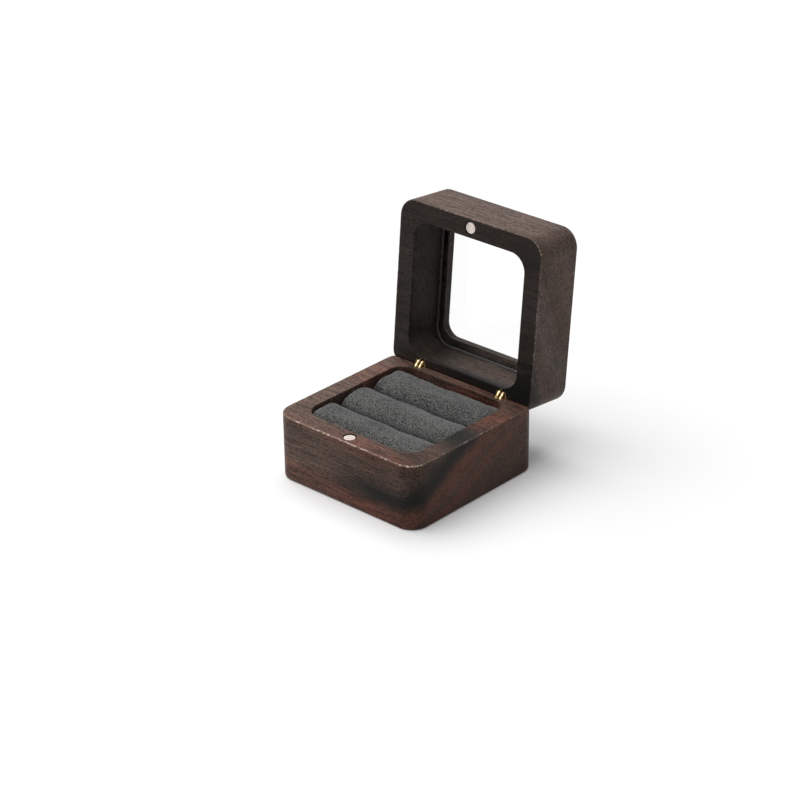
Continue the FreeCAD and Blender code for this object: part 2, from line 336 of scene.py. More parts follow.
def timber_group():
    """Figure of a plain sawn board whose grain runs along X, from a vector in millimetres.

    Layers of growth are planes, z - tilt * y + slant * x, bent by broad noise. Layer is that height as
    a share of the board's depth. Streaks follow the layers, fibres run along X, specks are the fine
    mottle of a sanded face, and pores are short dark strokes along the grain. Dark is a streak of
    heartwood at one level, which runs out towards the board's left end, as Side does.
    """
    s, given = start_group("Timber figure", {
        "Board": (0, 0, 0), "Tilt": 0.47, "Slant": -0.02, "Depth": SAW_DEPTH, "Bend": 4.0,
        "Dark Level": 24.5, "Dark Reach": 6.5, "Run Out": 0.0})
    place = s.vector("ADD", given["Vector"], given["Board"])
    x, y, z = s.split(given["Vector"])
    broad = s.noise(s.scaled(place, 0.03, 0.08, 0.08), detail=3.0)
    plane = s.minus(s.times_plus(x, given["Slant"], z), s.times(y, given["Tilt"]))
    layer = s.plus(plane, s.sway(broad, s.times(given["Bend"], 2.0)))
    streaks = s.noise(s.join(s.times(x, 0.03), layer, 0.0), scale=1.1, detail=4.0, roughness=0.7)
    mottle = s.noise(s.scaled(place, 0.10, 0.22, 0.22), detail=3.0, roughness=0.6)
    fibres = s.noise(s.scaled(place, 0.11, 1.6, 1.6), detail=2.0, roughness=0.7)
    specks = s.noise(s.scaled(place, 0.8, 3.2, 3.2), detail=3.0, roughness=0.85)
    patches = s.noise(s.scaled(place, 0.12, 0.3, 0.3), detail=2.0)
    shade = 0.0
    for pattern, weight in ((streaks, 2.2), (mottle, 1.0), (fibres, 2.6), (specks, 5.8)):
        shade = s.sway(pattern, weight, shade)
    strokes = s.noise(s.scaled(place, 0.7, 2.6, 2.6), detail=1.0, roughness=0.5)
    pores = s.smooth(strokes, 0.58, 0.72)
    height = s.minus(s.times(specks, 0.6), s.times(pores, 0.7))
    away = s.math("ABSOLUTE", s.minus(s.sway(streaks, 6.0, layer), given["Dark Level"]))
    side = s.smooth(s.minus(s.sway(mottle, 30.0, x), given["Run Out"]), -12.0, 12.0)
    dark = s.smooth(away, s.times(given["Dark Reach"], 0.1), given["Dark Reach"], 1.0, 0.0)
    return end_group(s, {"Layer": s.math("DIVIDE", layer, given["Depth"]), "Shade": shade,
                         "Hue": s.smooth(patches, 0.38, 0.66), "Pores": pores,
                         "Dark": s.times(dark, side), "Side": side, "Height": height})


def edge_group():
    """Nearness to a level edge that runs round a rectangle with rounded corners, in millimetres.

    The distance to the outline is length(max(q, 0)) + min(max(q.x, q.y), 0) - radius, where q is the
    size of the place less the half sizes of the rectangle drawn in by the radius. With the height
    over the edge's level it gives the distance to the edge, which noise then eats into.
    """
    s, given = start_group("Edge wear", {"Half Size": (30, 30, 0), "Radius": 6.4, "Level": 0.0,
                                         "Reach": 0.6})
    x, y, z = s.split(given["Vector"])
    drawn_in = s.vector("SUBTRACT", given["Half Size"], s.join(given["Radius"], given["Radius"], 0.0))
    beyond = s.vector("SUBTRACT", s.vector("ABSOLUTE", s.join(x, y, 0.0)), drawn_in)
    outside = s.vector("LENGTH", s.vector("MAXIMUM", beyond, (0, 0, 0)))
    q = s.split(beyond)
    within = s.math("MINIMUM", s.most(q[0], q[1]), 0.0)
    outline = s.minus(s.plus(outside, within), given["Radius"])
    rise = s.minus(z, given["Level"])
    away = s.math("SQRT", s.plus(s.times(outline, outline), s.times(rise, rise)))
    eaten = s.noise(given["Vector"], scale=0.7, detail=3.0)
    edge = s.times_plus(s.minus(eaten, 0.45), given["Reach"], away)
    near = s.minus(1.0, s.math("DIVIDE", edge, given["Reach"]), clamp=True)
    spots = s.noise(given["Vector"], scale=1.3, detail=1.0)
    patches = s.noise(given["Vector"], scale=0.14, detail=1.0)
    flecks = s.times(s.smooth(spots, 0.54, 0.6), s.smooth(patches, 0.38, 0.52))
    flecks = s.times(flecks, s.smooth(away, given["Reach"], 0.0))
    return end_group(s, {"Wear": s.smooth(near, 0.0, 1.0), "Flecks": flecks,
                         "Depth": s.times(outline, -1.0)})


def nap_group():
    """Short velvet pile, from a vector in millimetres: clumps, single fibres and brushed patches."""
    s, given = start_group("Velvet nap", {"Fibre Scale": 2.7})
    fibres = s.noise(given["Vector"], scale=given["Fibre Scale"], detail=3.0, roughness=0.8)
    clumps = s.noise(given["Vector"], scale=1.1, detail=2.0)
    brushed = s.noise(given["Vector"], scale=0.12, detail=2.0, distortion=0.4)
    shade = 0.0
    for pattern, weight in ((fibres, 7.5), (clumps, 0.4), (brushed, 0.7)):
        shade = s.sway(pattern, weight, shade)
    height = s.plus(fibres, s.times(clumps, 0.3))
    return end_group(s, {"Shade": s.plus(shade, 0.5, clamp=True), "Height": height})


def turned_metal_group():
    """Small turned metal piece, from a vector in millimetres: a dull film, and the relief of soft
    lumps and fine pits."""
    s, given = start_group("Turned metal", {"Film Scale": 1.0})
    film = s.smooth(s.noise(given["Vector"], scale=given["Film Scale"], detail=3.0), 0.35, 0.75)
    lumps = s.noise(given["Vector"], scale=0.9, detail=1.0)
    pits = s.noise(given["Vector"], scale=5.0, detail=2.0, roughness=0.6)
    return end_group(s, {"Film": film, "Relief": s.times_plus(lumps, 6.0, pits)})


def effect(sheet, name, build, inputs):
    """The outputs of a shared node group, which is built the first time that it is asked for."""
    group = bpy.data.node_groups.get(name) or build()
    return sheet.add("ShaderNodeGroup", inputs, node_tree=group).outputs


def new_material(name, place=None):
    """A node material: (material, sheet, Principled BSDF, place in millimetres).

    place is the matrix that takes the piece, where it stands, to the frame in which its pattern is
    written. Mapping nodes scale first, then turn, then move, so its shift is scaled as well.
    """
    material = bpy.data.materials.new(name)
    material.use_nodes = True
    sheet = Sheet(material.node_tree)
    shader = material.node_tree.nodes["Principled BSDF"]
    place = place or Matrix.Identity(4)
    inputs = {"Vector": sheet.add("ShaderNodeTexCoord").outputs["Object"],
              "Location": place.to_translation() / MM, "Rotation": place.to_euler("XYZ"),
              "Scale": (1 / MM,) * 3}
    millimetres = sheet.add("ShaderNodeMapping", inputs).outputs[0]
    return material, sheet, shader, millimetres


def bump(sheet, height, depth, strength=1.0):
    """Normals from a height pattern, where depth is the relief in metres."""
    inputs = {"Height": height, "Distance": depth, "Strength": strength}
    return sheet.add("ShaderNodeBump", inputs).outputs["Normal"]


def nearness(s, here, edge, reach=0.6):
    """Nearness to one edge: (half size, radius, level), in millimetres."""
    half_size, radius, level = edge
    return effect(s, "Edge wear", edge_group, {"Vector": here, "Half Size": half_size,
                                               "Radius": radius, "Level": level, "Reach": reach})


def inner_darkening(s, here, depth, rim):
    """One within the outer skin, and less on the pocket wall by the hinges towards its right end and up
    from the rim, where painted light makes that wall lighter.
    """
    towards_hinges, up_wall, towards_right = (19.0, 23.0), (rim + 0.3, rim + 2.0), (-16.0, 6.0)
    x, y, z = s.split(here)
    # painted light: the pocket wall by the hinges is kept lighter towards its right end, as if lit
    painted_lit = s.times(s.smooth(y, *towards_hinges), s.smooth(z, *up_wall))
    painted_lit = s.times(painted_lit, s.smooth(x, *towards_right, 0.1, 1.0))
    return s.times(s.smooth(depth, 0.0, 0.5), s.times_plus(painted_lit, -0.95, 1.0))


def drilled(s, here, places):
    """One in and close round each drilled hole, the mask of its painted shade: (x, y, radius, depth from
    the rim) in millimetres.
    """
    within = None
    below_rim = s.math("ABSOLUTE", s.minus(s.split(here)[2], RIM / MM))
    for x, y, radius, depth in places:
        away = s.vector("SUBTRACT", s.vector("MULTIPLY", here, (1, 1, 0)), (x, y, 0))
        beside = s.smooth(s.vector("LENGTH", away), radius, radius + 0.14, 1.0, 0.0)
        within = s.most(within, s.times(beside, s.smooth(below_rim, depth + 0.06, depth + 0.2, 1.0, 0.0)))
    return within


def wood_material(name, place, finish, board, layers, dark, edges, reddening, painted_falloff, rubbing,
                  holes, seat=None, inner_darkness=0.0):
    """Oiled hardwood: growth layers, fine mottle, dark pores and worn edges.

    layers are (level in mm, colour) of the growth layers in turn, and dark is the level and the reach
    of the dark streak and the place where it runs out; edges are (half size, radius, level)
    of the arrises that are worn; seat is the same for the corner round the pane's seat, which is
    darkened there as painted shade. The last argument darkens what lies within the outer skin, such
    as the rim and the pocket, towards near black. rubbing is how much of the wear shows behind the
    front and at it. The pair after reddening is painted light and shade: how much darker the wood is
    painted over 100 mm to the right, away from the light, where a negative share paints it lighter,
    and how much darker its front right corner is. holes are the places of the drilled holes, which
    are darkened there as painted shade.
    """
    material, s, shader, here = new_material(name, place)
    dark_level, dark_reach, run_out = dark
    figure = effect(s, "Timber figure", timber_group,
                    {"Vector": here, "Board": board, "Dark Level": dark_level,
                     "Dark Reach": dark_reach, "Run Out": run_out})
    ramp = s.add("ShaderNodeValToRGB", {"Fac": figure["Layer"]})
    stops = ramp.color_ramp.elements
    for index, (level, tone) in enumerate(layers):
        stop = stops[index] if index < 2 else stops.new(1.0)
        stop.position = level / SAW_DEPTH
        stop.color = tone
    tone = s.mix(s.times(figure["Hue"], reddening), ramp.outputs["Color"], finish.red)
    paler = 0.45                 # how much of the light brown the board's left end takes on
    tone = s.mix(s.times_plus(figure["Side"], -paler, paler), tone, finish.light)
    tone = s.mix(figure["Dark"], tone, finish.dark)
    lightness = s.math("MAXIMUM", s.plus(figure["Shade"], 1.0), 0.2)
    x, y, _ = s.split(here)
    towards_right, towards_front, at_front = (6.0, 27.0), (-12.0, -25.0), (-23.0, -28.5)
    corner = s.times(s.smooth(x, *towards_right), s.smooth(y, *towards_front))
    # painted light and shade: darker to the right, away from the light (lighter where the share is
    # negative), and darker in the front right corner
    lightness = s.times(lightness, s.times_plus(x, -painted_falloff[0] / 100, 1.0))
    lightness = s.times(lightness, s.times_plus(corner, -painted_falloff[1], 1.0))
    tone = s.mix(1.0, tone, s.join(lightness, lightness, lightness), blend="MULTIPLY")
    tone = s.mix(s.times(figure["Pores"], finish.pores), tone, PORE_TONE)
    wear, flecks = None, None
    for edge in edges:
        found = nearness(s, here, edge)
        wear, flecks = s.most(wear, found["Wear"]), s.most(flecks, found["Flecks"])
    # the rim, the pocket and the window's walls are darkened towards near black, less where painted light
    # keeps the wall by the hinges lighter
    if inner_darkness:
        within = s.times(inner_darkening(s, here, found["Depth"], edges[0][2]), inner_darkness)
        tone = s.mix(within, tone, INNER_DARK_TONE)
    handled = s.smooth(y, *at_front, *rubbing)
    tone = s.mix(s.times(s.times(wear, 0.25), handled), tone, finish.worn)
    tone = s.mix(s.times(flecks, handled), tone, finish.worn)
    # painted shade: the drilled holes and a thin ring round them are darkened almost to black
    tone = s.mix(s.times(drilled(s, here, holes), 0.92), tone, HOLE_SHADE_TONE)
    # painted shade in the corner round the pane's seat, where the pane shades the ledge
    if seat:
        tone = s.mix(s.times(nearness(s, here, seat, SEAT_SHADE_REACH)["Wear"], 0.9), tone, SEAT_SHADE_TONE)
    rough = s.minus(s.times_plus(figure["Pores"], 0.2, 0.5), s.times(wear, 0.08))
    s.fill(shader, {"Base Color": tone, "Roughness": rough, "Specular IOR Level": 0.12,
                    "Normal": bump(s, figure["Height"], 0.05 * MM, 0.7)})
    return material


def velvet_material(finish):
    """Short grey pile with a soft sheen, with painted shade that darkens it down in the slots."""
    material, s, shader, here = new_material("velvet")
    nap = effect(s, "Velvet nap", nap_group, {"Vector": here})
    tone = s.mix(nap["Shade"], finish.ground, finish.nap)
    depth, down_slot = s.minus(RIM / MM, s.split(here)[2]), (2.6, 5.4)
    # painted shade: the pile darkens with its depth below the rim, down in the slots
    tone = s.mix(s.smooth(depth, *down_slot, 0.0, 0.8), tone, SLOT_SHADE_TONE)
    s.fill(shader, {"Base Color": tone, "Normal": bump(s, nap["Height"], 0.12 * MM, 0.7),
                    "Roughness": 0.95, "Specular IOR Level": 0.1, "Sheen Weight": 0.25,
                    "Sheen Roughness": 0.5, "Sheen Tint": (0.8, 0.8, 0.82, 1)})
    return material


def card_material(finish):
    """Grey board with flecks of pulp."""
    material, s, shader, here = new_material("card")
    pulp = effect(s, "Velvet nap", nap_group, {"Vector": here, "Fibre Scale": 1.4})
    darker = s.mix(1.0, finish.card, (0.72, 0.72, 0.72, 1), blend="MULTIPLY")
    s.fill(shader, {"Base Color": s.mix(pulp["Shade"], darker, finish.card), "Roughness": 0.9,
                    "Normal": bump(s, pulp["Height"], 0.03 * MM, 0.5)})
    return material


def metal_material(name, bright, dull, film_scale, smooth_level, rough_level):
    """Turned metal: bright where it is worn smooth and dull under its film."""
    material, s, shader, here = new_material(name)
    surface = effect(s, "Turned metal", turned_metal_group, {"Vector": here, "Film Scale": film_scale})
    rough = s.times_plus(surface["Film"], rough_level - smooth_level, smooth_level)
    s.fill(shader, {"Base Color": s.mix(surface["Film"], bright, dull), "Roughness": rough,
                    "Metallic": 1.0, "Normal": bump(s, surface["Relief"], 0.01 * MM, 0.4)})
    return material


def let_lamps_through(sheet, shader, tint):
    """Shadow rays pass through the glass, so that the wood behind it is lit."""
    clear = sheet.add("ShaderNodeBsdfTransparent", {"Color": tint})
    shadow = sheet.add("ShaderNodeLightPath").outputs["Is Shadow Ray"]
    both = sheet.add("ShaderNodeMixShader", {0: shadow, 1: shader.outputs[0], 2: clear.outputs[0]})
    sheet.fill(sheet.tree.nodes["Material Output"], {"Surface": both.outputs[0]})


def pane_material():
    """Thin clear glass with a trace of dust."""
    material, s, shader, here = new_material("pane")
    dust = s.smooth(s.noise(here, scale=0.9, detail=1.0), 0.72, 0.76)
    s.fill(shader, {"Base Color": (0.99, 0.995, 0.99, 1), "Roughness": s.times_plus(dust, 0.25, 0.02),
                    "Transmission Weight": 1.0, "IOR": 1.35})
    let_lamps_through(s, shader, (0.92, 0.94, 0.93, 1))
    return material


def bead_material():
    """Clear set glue, slightly cloudy."""
    material, s, shader, here = new_material("glue")
    cloud = s.noise(here, scale=0.7, detail=2.0)
    s.fill(shader, {"Base Color": (0.10, 0.097, 0.09, 1), "Transmission Weight": 0.6, "IOR": 1.46,
                    "Roughness": s.smooth(cloud, 0.58, 0.66, 0.75, 0.12),
                    "Normal": bump(s, cloud, 0.15 * MM, 0.6)})
    let_lamps_through(s, shader, (0.7, 0.7, 0.68, 1))
    return material


# ---- surfaces ----

def between(first, second, part):
    """The places that lie part of the way from first to second."""
    return first * (1 - part) + second * part


def rounded_outline(half_width, half_depth, radius):
    """Points anticlockwise round a rectangle with rounded corners, and the way out at each.

    On a corner a point is centre + radius * (cos a, sin a). Between two corners the points lie evenly
    on a straight line. All outlines have the same counts, so they match point for point.
    """
    straight, arc = COUNTS
    turns = np.linspace(0, np.pi / 2, arc)
    signs = np.array([(1, 1), (-1, 1), (-1, -1), (1, -1)])
    centres = signs * (half_width - radius, half_depth - radius)
    angles = turns[None, :] + np.arange(4)[:, None] * np.pi / 2
    out = np.stack((np.cos(angles), np.sin(angles)), axis=-1)
    corners = centres[:, None, :] + radius * out
    following = np.roll(corners, -1, axis=0)[:, :1]
    steps = np.linspace(0, 1, straight + 2)[1:-1, None]
    lines = between(corners[:, -1:], following, steps)
    line_out = np.repeat(out[:, -1:], straight, axis=1)
    points = np.concatenate((corners, lines), axis=1).reshape(-1, 2)
    outward = np.concatenate((out, line_out), axis=1).reshape(-1, 2)
    return points, outward


def wave_noise(points, wavelength, seed, octaves=3):
    """Smooth noise of about unit size: a sum of sine waves in fixed directions, where each octave has
    half the wavelength and half the height of the one before."""
    rng = np.random.default_rng(seed)
    total = np.zeros(points.shape[:-1])
    for octave in range(octaves):
        for _ in range(4):
            way = rng.normal(size=points.shape[-1])
            way /= np.linalg.norm(way)
            phase = rng.uniform(0, 2 * np.pi)
            step = 2 * np.pi / (wavelength * 0.5 ** octave * rng.uniform(0.8, 1.25))
            total += 0.5 ** octave * np.sin(points @ way * step + phase)
    return total / 2.5


def grid_faces(rows, columns, around, cyclic_rows=False):
    """Corner numbers of the quads of a grid of rows by columns; around closes each row on itself."""
    row = np.arange(rows if cyclic_rows else rows - 1)
    column = np.arange(columns if around else columns - 1)
    r, c = np.meshgrid(row, column, indexing="ij")
    next_r, next_c = (r + 1) % rows, (c + 1) % columns
    quads = (r * columns + c, r * columns + next_c, next_r * columns + next_c, next_r * columns + c)
    return np.stack(quads, axis=-1).reshape(-1, 4)


def tube_faces(rows, columns, start=0):
    """Faces round rows of points that close on themselves, and a flat end at either side."""
    first = np.arange(columns) + start
    sides = grid_faces(rows, columns, around=True) + start
    return sides.tolist() + [first[::-1].tolist(), (first + (rows - 1) * columns).tolist()]


def put(name, data):
    """A new object in the scene."""
    made = bpy.data.objects.new(name, data)
    bpy.context.scene.collection.objects.link(made)
    return made


def new_piece(name, points, faces, material, flat_over=None):
    """A mesh object at the origin from arrays; flat_over is the angle past which an edge is sharp."""
    mesh = bpy.data.meshes.new(name)
    mesh.from_pydata(points.tolist(), [], faces)
    mesh.materials.append(material)
    mesh.polygons.foreach_set("use_smooth", np.ones(len(mesh.polygons), bool))
    if flat_over is not None:
        mesh.set_sharp_from_angle(angle=flat_over)
    mesh.update()
    return put(name, mesh)


def vertex_places(mesh):
    """A mesh's points as rows of x, y and z."""
    places = np.empty(len(mesh.vertices) * 3)
    mesh.vertices.foreach_get("co", places)
    return places.reshape(-1, 3)


def back_slope(y):
    """Height of the rim's surface over its flat part, which is level up to the pin, then an arc of
    the pin's depth round the pin, and then the back chamfer's plane, tangent to that arc."""
    past = np.maximum(y - BASE_PIN.y, 0.0)
    depth, lean = PIN_BELOW_RIM, HALF_OPENING
    arc = -depth + np.sqrt(np.maximum(depth ** 2 - past ** 2, 0.0))
    plane = -depth + (depth - past * math.sin(lean)) / math.cos(lean)
    return np.where(past < depth * math.sin(lean), arc, plane)


def rim_steps(outer, inner, count):
    """Where the rows between two outlines lie, as shares from outer to inner, one row each.

    Rows are spaced evenly in share + weight * atan((y - ridge) / width), which draws them together
    where the line from outer to inner crosses the ridge over the pins. Halving finds each share.
    """
    weight, width = 0.25, 0.35 * MM
    ridge = BASE_PIN.y + PIN_BELOW_RIM * math.sin(HALF_OPENING) / 2

    def spacing(step):
        y = outer[:, 1] + (inner[:, 1] - outer[:, 1]) * step
        turn = np.arctan((outer[:, 1] - ridge) / width) - np.arctan((y - ridge) / width)
        return step + weight * np.abs(turn)

    low, high = np.zeros((count, len(outer))), np.ones((count, len(outer)))
    wanted = np.linspace(0, 1, count + 2)[1:-1, None] * spacing(np.ones(len(outer)))
    for _ in range(30):
        middle = (low + high) / 2
        short = spacing(middle) < wanted
        low, high = np.where(short, middle, low), np.where(short, high, middle)
    return (low + high) / 2


def nicked(points, seed, depth, reach, edge_distance):
    """Points drawn in by wear: near an edge, noise over a threshold sinks the surface a little."""
    bite = np.clip(wave_noise(points, LONG_NICK, seed) - 0.15, 0, 1) ** 1.5
    small = np.clip(wave_noise(points, SHORT_NICK, seed + 1, octaves=2) - 0.5, 0, 1)
    near = np.clip(1 - edge_distance / reach, 0, 1) ** 2
    return depth * near * np.clip(bite + small, 0, 1)


def block_rings(sizes, height, inner_rings):
    """Closed rows of points of one wood block, with its rim's level at z 0 and its body below.

    A profile is carried round the matching outlines: from the flat underside over the foot's round,
    up the side, over the rim's round, across the rim, over the mouth's round and down the pocket.
    Rows on the side are squeezed under the back slope, and rows on the rim lie on it.
    """
    outer, out = rounded_outline(HALF_WIDTH, HALF_DEPTH, sizes.corner)
    pocket, pocket_out = pocket_outline(sizes)
    rows = []

    def add(flat, level):
        z = np.broadcast_to(level, flat.shape[:-1])
        rows.append(np.concatenate((flat, z[..., None]), axis=-1))

    def drawn(outline, way, inset):
        return outline - way * inset[..., None]

    foot_inset = sizes.foot_round * FADING * np.ones(len(outer))
    add(drawn(outer, out, np.full((1, len(outer)), sizes.foot_round + FLAT_INSET)), -height)
    add(drawn(outer, out, foot_inset), -height + sizes.foot_round * GROWING)
    lower, upper = -height + sizes.foot_round, back_slope(outer[:, 1]) - sizes.rim_round
    steps = (1 - np.cos(np.linspace(0, np.pi, SIDE_STEPS)[1:-1])) / 2
    add(np.repeat(outer[None], len(steps), axis=0), lower + steps[:, None] * (upper - lower))
    edge = drawn(outer, out, sizes.rim_round * GROWING * np.ones(len(outer)))
    add(edge, back_slope(edge[..., 1]) - sizes.rim_round * FADING)
    mouth = pocket + pocket_out * sizes.mouth_round
    across = between(edge[-1], mouth, rim_steps(edge[-1], mouth, RIM_ROWS)[..., None])
    add(across, back_slope(across[..., 1]))
    turn_in = pocket + pocket_out * (sizes.mouth_round * FADING)[..., None]
    add(turn_in, -sizes.mouth_round * GROWING)
    for flat, level in inner_rings(pocket):
        add(flat, level)
    return np.concatenate(rows)


def wall_rows(outline, top, foot):
    """Rows straight down an outline, from under its top to its foot, with their levels."""
    steps = np.linspace(0, 1, WALL_STEPS)[1:, None]
    return np.repeat(outline[None], len(steps), axis=0), top + steps * (foot - top)


def pocket_outline(sizes):
    """Outline of both pockets, which the cushion board fits with its gap."""
    half_width = BOARD_HIGH.x + sizes.board_gap
    half_depth = BOARD_HIGH.y + sizes.board_gap
    return rounded_outline(half_width, half_depth, sizes.pocket_corner)


def with_holes(piece, holes):
    """The block with blind round holes cut in from its rim: holes are (x, y, radius, depth, rim level
    and which way is in). The cutters are cylinders of two capped rings."""
    around = np.linspace(0, 2 * np.pi, HOLE_POINTS, endpoint=False)
    ring = np.stack((np.cos(around), np.sin(around)), axis=-1)
    points, faces = [], []
    for x, y, radius, depth, level, inwards in holes:
        ends = sorted((level - inwards * 1 * MM, level + inwards * depth))
        faces += tube_faces(2, HOLE_POINTS, len(points) * 2 * HOLE_POINTS)
        levels = np.repeat(ends, HOLE_POINTS)[:, None]
        points.append(np.concatenate((np.tile(ring * radius + (x, y), (2, 1)), levels), axis=1))
    cutter = new_piece(piece.name + "_cutter", np.concatenate(points), faces, piece.data.materials[0])
    cut = piece.modifiers.new("holes", "BOOLEAN")
    cut.operation, cut.solver, cut.object = "DIFFERENCE", "EXACT", cutter
    bpy.context.view_layer.objects.active = piece
    bpy.ops.object.modifier_apply(modifier=cut.name)
    bpy.data.objects.remove(cutter)
    return piece


def hole_places(sizes, level, inwards):
    """The holes of a block: one for its magnet and two for its hinge barrels."""
    magnet_x, magnet_y = (MAGNET_LOW.x + MAGNET_HIGH.x) / 2, (MAGNET_LOW.y + MAGNET_HIGH.y) / 2
    magnet_radius = (MAGNET_HIGH.y - MAGNET_LOW.y) / 2 + sizes.hole_gap
    barrel_radius = (BARREL_HIGH.x - BARREL_LOW.x) / 2 + GLUE_LINE
    barrel_x = (BARREL_LOW.x + BARREL_HIGH.x) / 2
    barrel_depth = RIM - BARREL_LOW.z + GLUE_LINE
    return [(magnet_x, magnet_y, magnet_radius, RIM - MAGNET_LOW.z, level, inwards),
            (barrel_x, BASE_PIN.y, barrel_radius, barrel_depth, level, inwards),
            (-barrel_x, BASE_PIN.y, barrel_radius, barrel_depth, level, inwards)]


def worn_rows(rings, sizes, seed):
    """Rows of a block with its outer edges nicked: each point sinks towards the block's middle, by
    its nearness to the rim's outer edge."""
    outer, _ = rounded_outline(HALF_WIDTH, HALF_DEPTH, sizes.corner)
    level = back_slope(outer[:, 1])
    away = np.sqrt(((rings[..., :2] - outer) ** 2).sum(-1) + (rings[..., 2] - level) ** 2)
    sunk = nicked(rings, seed, sizes.edge_wear, NICK_REACH, away)
    inwards = np.concatenate((-outer, -np.linalg.norm(outer, axis=1, keepdims=True)), axis=1)
    inwards /= np.linalg.norm(inwards, axis=1, keepdims=True)
    return rings + inwards * sunk[..., None]


def turn_about(pin, angle):
    """The matrix of a turn about a pin, whose axis runs along X."""
    return Matrix.Translation(pin) @ Matrix.Rotation(angle, 4, "X") @ Matrix.Translation(-pin)


def opened(points):
    """Closed lid points turned open: back by half the opening round the base pin, and then by the
    other half round the lid pin where it then is."""
    whole = np.array(turn_about(LID_PIN, -HALF_OPENING) @ turn_about(BASE_PIN, -HALF_OPENING))
    return points @ whole[:3, :3].T + whole[:3, 3]


def lid_closing():
    """The matrix that takes the open lid back to where it lies closed."""
    return turn_about(BASE_PIN, HALF_OPENING) @ turn_about(LID_PIN, HALF_OPENING)


def base_block(sizes, material):
    """Lower block: outer skin, rim and pocket as one carried profile, closed by two flat ends."""
    def inner_rings(pocket):
        return [wall_rows(pocket, -sizes.mouth_round, BOARD_LOW.z - RIM)]

    rings = worn_rows(block_rings(sizes, RIM, inner_rings), sizes, seed=3)
    points = rings.reshape(-1, 3) + (0, 0, RIM)
    block = new_piece("base_block", points, tube_faces(*rings.shape[:2]), material)
    with_holes(block, hole_places(sizes, RIM, -1))
    block.data.set_sharp_from_angle(angle=SHARP_OVER)
    return block


def lid_block(sizes, material):
    """Upper block: the same profile mirrored over the seam, carried on round the window."""
    height = sizes.lid_height

    def inner_rings(pocket):
        seat = -height + sizes.window_lip
        window, window_out = rounded_outline(sizes.window_width / 2, sizes.window_depth / 2,
                                             sizes.window_corner)
        steps = np.linspace(0, 1, WALL_STEPS)[1:, None, None]
        turn_out = window + window_out * (sizes.rim_round * GROWING)[..., None]
        outer, out = rounded_outline(HALF_WIDTH, HALF_DEPTH, sizes.corner)
        far = outer - out * (sizes.foot_round + FLAT_INSET)
        near = window + window_out * sizes.rim_round
        return [wall_rows(pocket, -sizes.mouth_round, seat), (between(pocket, window, steps), seat),
                wall_rows(window, seat, -height + sizes.rim_round),
                (turn_out, -height + sizes.rim_round * FADING),
                (between(near, far, steps[:-1]), -height)]

    rings = worn_rows(block_rings(sizes, height, inner_rings), sizes, seed=11)
    seam = RIM + sizes.seam_gap
    points = rings.reshape(-1, 3) * (1, 1, -1) + (0, 0, seam)
    faces = grid_faces(*rings.shape[:2], around=True, cyclic_rows=True)[:, ::-1].tolist()
    block = new_piece("lid_block", points, faces, material)
    with_holes(block, hole_places(sizes, seam, 1))
    block.data.vertices.foreach_set("co", opened(vertex_places(block.data)).ravel())
    block.data.set_sharp_from_angle(angle=SHARP_OVER)
    block.data.update()
    return block


def slot_line(x, place, rolls):
    """The line between two rolls: straight, and straying by noise that depends only on its place."""
    along = np.stack((x, np.full_like(x, place)), axis=-1)
    return place + rolls.wander * wave_noise(along, SLOT_WAVE, seed=41, octaves=2)


def lane(index, x, rolls):
    """Where a roll's two sides lie at each x: its slots, or the pocket's wall with its round corners."""
    half_x, half_y = BOARD_HIGH.x, BOARD_HIGH.y
    pitch = 2 * half_y / rolls.count
    past = np.maximum(np.abs(x) - (half_x - BOARD_CORNER), 0.0)
    wall = half_y - BOARD_CORNER + np.sqrt(np.maximum(BOARD_CORNER ** 2 - past ** 2, 0.0))
    low_place, high_place = -half_y + index * pitch, -half_y + (index + 1) * pitch
    low = -wall if index == 0 else slot_line(x, low_place, rolls) + rolls.slot_gap / 2
    high = wall if index == rolls.count - 1 else slot_line(x, high_place, rolls) - rolls.slot_gap / 2
    return low, high


